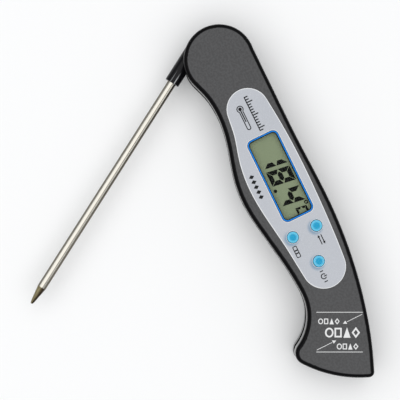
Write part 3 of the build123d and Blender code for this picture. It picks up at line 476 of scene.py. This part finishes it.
def draw_digit(flat, sign, left, low, width, height, stroke, gap=DIGIT_GAP):
    """One seven-segment sign with mitred joints. The seven strokes lie inside width x height."""
    for segment in SIGNS[sign]:
        first, last = SEGMENTS[segment]
        start = Vector((first[0] * width, first[1] * height))
        stop = Vector((last[0] * width, last[1] * height))
        along = (stop - start).normalized()
        inward = Vector((along.y, -along.x))
        if segment == "g":
            trim = along * (stroke / 2 + gap)
            half = inward * stroke / 2
            outline = [start + trim, start + 2 * trim - half, stop - 2 * trim - half]
            outline += [stop - trim, stop - 2 * trim + half, start + 2 * trim + half]
        else:
            # an end at a corner is cut at 45 degrees, and one at the middle at half that slope
            start_cut, stop_cut = (1.0 if end[1] in (0, 1) else 0.5 for end in (first, last))
            outer_start = start + along * gap * (CORNER_GAP if start_cut == 1 else 1)
            outer_stop = stop - along * gap * (CORNER_GAP if stop_cut == 1 else 1)
            outline = [outer_start, outer_stop]
            outline += [outer_stop + inward * stroke - along * stroke * stop_cut]
            outline += [outer_start + inward * stroke + along * stroke * start_cut]
        flat.polygon([(left + p.x + p.y * DIGIT_LEAN, low + p.y) for p in reversed(outline)])


def display_digits():
    """The reading 18.4 with its degree sign, on top of the display."""
    ink = simple("digit_black", (0.001, 0.001, 0.001), 0.6, 2000, 0.001, Specular_IOR_Level=0.02)
    flat = Flat(FILM_TOP + INK_GAP, INK_THICK)
    low = LENS_LOW.y + 2.4 * MM
    across = LENS_LOW.x
    for sign, left, lift, width in READING:
        place = (across + left * MM, low + lift * MM)
        draw_digit(flat, sign, *place, width * MM, DIGIT_TALL, DIGIT_STROKE)
    flat.disc((across + 23.7 * MM, low + 0.2 * MM), POINT_R)
    unit_place = (across + 33.75 * MM, low + 4.5 * MM)
    draw_digit(flat, "C", *unit_place, 3.2 * MM, 4.9 * MM, 0.95 * MM, 0.05 * MM)
    ring = (across + 33.25 * MM, low + 9.85 * MM)
    flat.band(arc(ring, RING_OUTER_R, 0, 345, 23), arc(ring, RING_INNER_R, 0, 345, 23))
    flat.piece("display_digits", ink, "lcd_glass")


def display_border():
    """The blue line printed round the window."""
    ink = simple("border_blue", (0.006, 0.21, 0.70), 0.35, 1500, 0.001, Specular_IOR_Level=0.15)
    flat = Flat(LENS_HIGH.z)
    size = LENS_HIGH - LENS_LOW
    middle = (LENS_CENTRE.x, LENS_CENTRE.y)
    edge = 0.16 * MM
    width = 0.52 * MM
    corner = 2.4 * MM
    inset = edge + width
    outer = rounded_rectangle(middle, size.x - 2 * edge, size.y - 2 * edge, corner)
    inner = rounded_rectangle(middle, size.x - 2 * inset, size.y - 2 * inset, corner - width)
    flat.band(outer, inner)
    flat.piece("display_border", ink, "lens_clear")


display_digits()
display_border()

# ------------------------------------------------------------------ printed marks, all plain symbols
plate_ink = simple("plate_ink", (0.006, 0.007, 0.008), 0.5, 2500, 0.001, Specular_IOR_Level=0.15)
tail_ink = simple("tail_ink", (0.80, 0.80, 0.80), 0.45, 2500, 0.001)
PLATE_TOP = PLATE_HIGH.z
LINE = 0.42 * MM  # width of the key symbols' lines
TUBE_LINE = 0.4 * MM  # and of the thermometer sign's
TICKS = 14
TICK_WIDE = 0.5 * MM


def key_symbols():
    """A swap sign, a pause sign and a power sign, each beside its key."""
    flat = Flat(PLATE_TOP)
    units = KEYS["units"] + Vector((6.1 * MM, -0.6 * MM, 0))
    for side in (-1, 1):
        row = units.y + side * 0.62 * MM
        tip = units.x + side * 2.3 * MM
        neck = tip - side * 1.15 * MM
        flat.bar(((neck + units.x - side * 2.0 * MM) / 2, row), 3.2 * MM, LINE)
        head = [(tip, row), (neck, row + 0.62 * MM), (neck, row - 0.62 * MM)]
        flat.polygon(head if side > 0 else head[::-1])
    hold = KEYS["hold"] + Vector((6.2 * MM, -1.2 * MM, 0))
    flat.band(
        rounded_rectangle((hold.x, hold.y), 5.2 * MM, 1.9 * MM, 0.5 * MM),
        rounded_rectangle((hold.x, hold.y), 4.5 * MM, 1.2 * MM, 0.2 * MM),
    )
    for step in (-1, 1):
        flat.bar((hold.x + step * 0.62 * MM, hold.y), 0.55 * MM, 1.2 * MM)
    power = KEYS["power"] + Vector((6.6 * MM, -0.9 * MM, 0))
    flat.stroke(arc((power.x, power.y), 1.05 * MM, 125, 415), LINE)
    flat.bar((power.x, power.y + 0.75 * MM), LINE, 1.4 * MM)
    for side in (-1, 1):
        flat.bar((power.x + side * 2.3 * MM, power.y), LINE, 1.5 * MM)
    flat.piece("key_symbols", plate_ink, "plate_silver")


def scale_mark():
    """A measuring scale and a small thermometer sign near the plate's head end."""
    flat = Flat(PLATE_TOP)
    start = PLATE_LOW.x + 3.9 * MM
    foot = 2.3 * MM
    pitch = 1.17 * MM
    span = (TICKS - 1) * pitch
    flat.bar((start + span / 2, foot), span + TICK_WIDE, LINE)
    for tick in range(TICKS):
        tall = 2.6 * MM if tick % 5 == 2 else 1.5 * MM
        flat.bar((start + tick * pitch, foot + tall / 2), TICK_WIDE, tall)
    bulb = (start + 3.6 * MM, -1.4 * MM)
    neck = 0.75 * MM
    stem_end = bulb[0] + 8.6 * MM
    flat.disc(bulb, 0.75 * MM)
    flat.stroke(arc(bulb, 1.3 * MM, 38, 322), TUBE_LINE)
    tube = [(bulb[0] + 1.0 * MM, bulb[1] + neck)]
    tube += arc((stem_end, bulb[1]), neck, 90, -90, 10)
    tube += [(bulb[0] + 1.0 * MM, bulb[1] - neck)]
    flat.stroke(tube, TUBE_LINE)
    flat.bar((bulb[0] + 3.2 * MM, bulb[1]), 5.2 * MM, 0.5 * MM)
    flat.piece("scale_mark", plate_ink, "plate_silver")


def diamond_row():
    """Five small diamonds under the window."""
    flat = Flat(PLATE_TOP)
    y = LENS_LOW.y - 3.9 * MM
    for step in range(5):
        x = LENS_LOW.x + (14.0 + 2.3 * step) * MM
        flat.polygon([(x + i * 0.9 * MM, y + j * 1.2 * MM) for i, j in DIAMOND])
    flat.piece("diamond_row", plate_ink, "plate_silver")


# Each row of shapes on the tail, in mm: first shape's middle, height up, pitch and how tall it is.
TAIL_ROWS = ((-7.9, 4.5, 2.3, 2.5), (-4.3, -0.2, 3.7, 4.3), (-0.1, -6.0, 2.3, 2.6))
# Each shape: outline, its width and height as shares of the row's height, and whether it's filled.
CIRCLE = [(cos(t), sin(t)) for t in turns(20)]
TAIL_SHAPES = (
    (CIRCLE, 0.68, 0.8, False),
    (SQUARE, 0.55, 0.78, False),
    (TRIANGLE, 0.7, 1.0, True),
    (DIAMOND, 0.62, 0.82, False),
)
SHAPE_LINE = 0.155  # width of a shape's line, as a share of the row's height


def tail_mark():
    """Two white lines, two arrows and three rows of plain shapes on the tail, square to the viewer."""
    flat = Flat(SHELL_HIGH.z)
    middle = Vector((SHELL_HIGH.x - 22.9 * MM, -4.8 * MM))
    right = Vector((cos(VIEW_TURN), sin(VIEW_TURN)))
    up = Vector((-sin(VIEW_TURN), cos(VIEW_TURN)))

    def at(a, b):
        """A place a mm to the viewer's right of the marks' middle and b mm up."""
        return middle + right * (a * MM) + up * (b * MM)

    for b in (8.3, -8.3):
        flat.stroke([at(-9.7, b), at(9.7, b)], 0.24 * MM)
    for sense in (1, -1):
        tail = at(9.5 * sense, 7.5 * sense)
        neck = at(3.1 * sense, 4.3 * sense)
        flat.stroke([tail, neck], 0.22 * MM)
        flat.polygon([at(a * sense, b * sense) for a, b in ((1.4, 3.5), (3.2, 3.5), (2.4, 4.8))])
    for first, b, pitch, tall in TAIL_ROWS:
        half = tall / 2
        for step, (outline, wide, high, filled) in enumerate(TAIL_SHAPES):
            a = first + step * pitch
            points = [at(a + i * half * wide, b + j * half * high) for i, j in outline]
            if filled:
                flat.polygon(points)
            else:
                flat.stroke(points, SHAPE_LINE * tall * MM, True)
    flat.piece("tail_mark", tail_ink, "handle_plastic")


key_symbols()
scale_mark()
diamond_row()
tail_mark()


# ------------------------------------------------------------------ stage, light and camera
FLOOR_HALF = 1.6
FLOOR_Z = -0.05 * MM  # a hair under the back, so that the two faces don't coincide
LIGHT_SPOT = (0.0, -0.1)
LIGHT_HEIGHT = 1.1
LIGHT_SIDE = 2.4
LIGHT_POWER = 19
SKY_COLOUR = (0.97, 0.985, 1.0, 1)
SKY_STRENGTH = 0.45
CAMERA_HEIGHT = 0.58
CAMERA_LENS = 120.9
VIEW_CENTRE = (49.2 * MM, -33.0 * MM)


def floor():
    """A pale floor, seen only from above so that the back can be looked at too."""
    corners = [(i * FLOOR_HALF, j * FLOOR_HALF, FLOOR_Z) for i, j in SQUARE]
    made = mesh_object("floor", corners, [(0, 1, 2, 3)], None)
    paint = Paint("floor_white", Base_Color=(0.92, 0.92, 0.92, 1), Roughness=0.7, Specular_IOR_Level=0.2)
    behind = paint.node("ShaderNodeNewGeometry").outputs["Backfacing"]
    clear = paint.node("ShaderNodeBsdfTransparent").outputs[0]
    mixed = paint.node("ShaderNodeMixShader", {0: behind, 1: paint.shader.outputs[0], 2: clear})
    output = paint.tree.nodes["Material Output"]
    paint.tree.links.new(mixed.outputs[0], output.inputs["Surface"])
    made.data.materials.append(paint.material)


def overhead_light():
    """One large soft light, straight above."""
    light = bpy.data.lights.new("overhead", "AREA")
    light.shape = "SQUARE"
    light.size = LIGHT_SIDE
    light.energy = LIGHT_POWER
    lamp = bpy.data.objects.new("overhead", light)
    bpy.context.scene.collection.objects.link(lamp)
    lamp.location = (*LIGHT_SPOT, LIGHT_HEIGHT)


def world():
    made = bpy.data.worlds.new("studio")
    made.use_nodes = True
    made.node_tree.nodes["Background"].inputs["Color"].default_value = SKY_COLOUR
    made.node_tree.nodes["Background"].inputs["Strength"].default_value = SKY_STRENGTH
    bpy.context.scene.world = made


def camera():
    """Straight down on the object, turned so that the handle runs to the lower right."""
    data = bpy.data.cameras.new("camera")
    data.lens = CAMERA_LENS
    data.sensor_width = 36
    made = bpy.data.objects.new("camera", data)
    bpy.context.scene.collection.objects.link(made)
    made.location = (*VIEW_CENTRE, CAMERA_HEIGHT)
    made.rotation_euler = (0, 0, VIEW_TURN)
    bpy.context.scene.camera = made


floor()
world()
camera()
overhead_light()
bpy.context.scene.view_settings.view_transform = "Standard"
